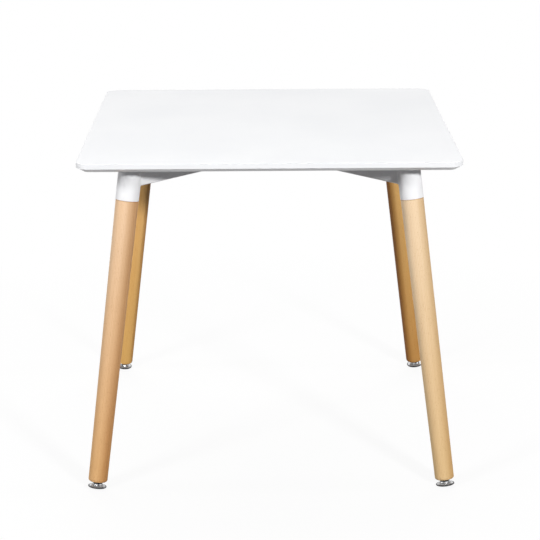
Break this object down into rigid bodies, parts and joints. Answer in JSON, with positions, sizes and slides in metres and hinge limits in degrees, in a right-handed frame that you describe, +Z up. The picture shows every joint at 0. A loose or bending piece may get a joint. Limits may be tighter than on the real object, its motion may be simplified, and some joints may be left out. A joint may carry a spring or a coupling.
{
  "type": "dining table",
  "caption": "Square dining table with a thin undercut white top on a steel cross frame and splayed round beech legs in white sleeves, with screw feet to level it.",
  "frame": {"origin": "on the floor, below the centre of the top", "axes": "+Z up; the table is square and its sides lie along X and Y; the pictured front faces -Y"},
  "size_m": [0.8, 0.8, 0.73],
  "materials": {
    "white_lacquer": "fibreboard with satin white lacquer",
    "white_frame": "satin white powder coat on steel",
    "beech": "clear matt lacquer on turned beech",
    "chrome": "bright plated steel",
    "zinc_steel": "zinc plated steel",
    "pad_plastic": "moulded plastic"
  },
  "bodies": {
    "table": {"table_top": "white_lacquer", "long_rail": "white_frame", "half_rail_back_left": "white_frame", "half_rail_front_right": "white_frame", "leg_sleeve_back_right": "white_frame", "sleeve_cap_back_right": "white_frame", "fixing_tab_back_right_a": "white_frame", "fixing_tab_back_right_b": "white_frame", "weld_nut_back_right": "zinc_steel", "hanger_bolt_back_right": "zinc_steel", "foot_insert_back_right": "zinc_steel", "leg_back_right": "beech", "leg_sleeve_back_left": "white_frame", "sleeve_cap_back_left": "white_frame", "fixing_tab_back_left_a": "white_frame", "fixing_tab_back_left_b": "white_frame", "weld_nut_back_left": "zinc_steel", "hanger_bolt_back_left": "zinc_steel", "foot_insert_back_left": "zinc_steel", "leg_back_left": "beech", "leg_sleeve_front_left": "white_frame", "sleeve_cap_front_left": "white_frame", "fixing_tab_front_left_a": "white_frame", "fixing_tab_front_left_b": "white_frame", "weld_nut_front_left": "zinc_steel", "hanger_bolt_front_left": "zinc_steel", "foot_insert_front_left": "zinc_steel", "leg_front_left": "beech", "leg_sleeve_front_right": "white_frame", "sleeve_cap_front_right": "white_frame", "fixing_tab_front_right_a": "white_frame", "fixing_tab_front_right_b": "white_frame", "weld_nut_front_right": "zinc_steel", "hanger_bolt_front_right": "zinc_steel", "foot_insert_front_right": "zinc_steel", "leg_front_right": "beech", "tab_screws": "zinc_steel"},
    "foot_back_right": {"foot_base_back_right": "chrome", "foot_pad_back_right": "pad_plastic"},
    "screw_back_right": {"foot_stem_back_right": "chrome"},
    "foot_back_left": {"foot_base_back_left": "chrome", "foot_pad_back_left": "pad_plastic"},
    "screw_back_left": {"foot_stem_back_left": "chrome"},
    "foot_front_left": {"foot_base_front_left": "chrome", "foot_pad_front_left": "pad_plastic"},
    "screw_front_left": {"foot_stem_front_left": "chrome"},
    "foot_front_right": {"foot_base_front_right": "chrome", "foot_pad_front_right": "pad_plastic"},
    "screw_front_right": {"foot_stem_front_right": "chrome"}
  },
  "joints": [
    {"name": "foot_height_back_right", "type": "slide", "parent": "table", "child": "foot_back_right", "axis": [0.1228, 0.1228, -0.9848], "range_m": [-0.0015, 0.012]},
    {"name": "foot_screw_back_right", "type": "hinge", "parent": "foot_back_right", "child": "screw_back_right", "pos_m": [0.37943, 0.37943, 0.00874], "axis": [0.1228, 0.1228, -0.9848], "range_deg": [-433, 3457]},
    {"name": "foot_height_back_left", "type": "slide", "parent": "table", "child": "foot_back_left", "axis": [-0.1228, 0.1228, -0.9848], "range_m": [-0.0015, 0.012]},
    {"name": "foot_screw_back_left", "type": "hinge", "parent": "foot_back_left", "child": "screw_back_left", "pos_m": [-0.37943, 0.37943, 0.00874], "axis": [-0.1228, 0.1228, -0.9848], "range_deg": [-433, 3457]},
    {"name": "foot_height_front_left", "type": "slide", "parent": "table", "child": "foot_front_left", "axis": [-0.1228, -0.1228, -0.9848], "range_m": [-0.0015, 0.012]},
    {"name": "foot_screw_front_left", "type": "hinge", "parent": "foot_front_left", "child": "screw_front_left", "pos_m": [-0.37943, -0.37943, 0.00874], "axis": [-0.1228, -0.1228, -0.9848], "range_deg": [-433, 3457]},
    {"name": "foot_height_front_right", "type": "slide", "parent": "table", "child": "foot_front_right", "axis": [0.1228, -0.1228, -0.9848], "range_m": [-0.0015, 0.012]},
    {"name": "foot_screw_front_right", "type": "hinge", "parent": "foot_front_right", "child": "screw_front_right", "pos_m": [0.37943, -0.37943, 0.00874], "axis": [0.1228, -0.1228, -0.9848], "range_deg": [-433, 3457]}
  ],
  "couplings": [
    {"joint": "foot_screw_back_right", "follows": "foot_height_back_right", "rad_per_m": 5026.5},
    {"joint": "foot_screw_back_left", "follows": "foot_height_back_left", "rad_per_m": 5026.5},
    {"joint": "foot_screw_front_left", "follows": "foot_height_front_left", "rad_per_m": 5026.5},
    {"joint": "foot_screw_front_right", "follows": "foot_height_front_right", "rad_per_m": 5026.5}
  ]
}
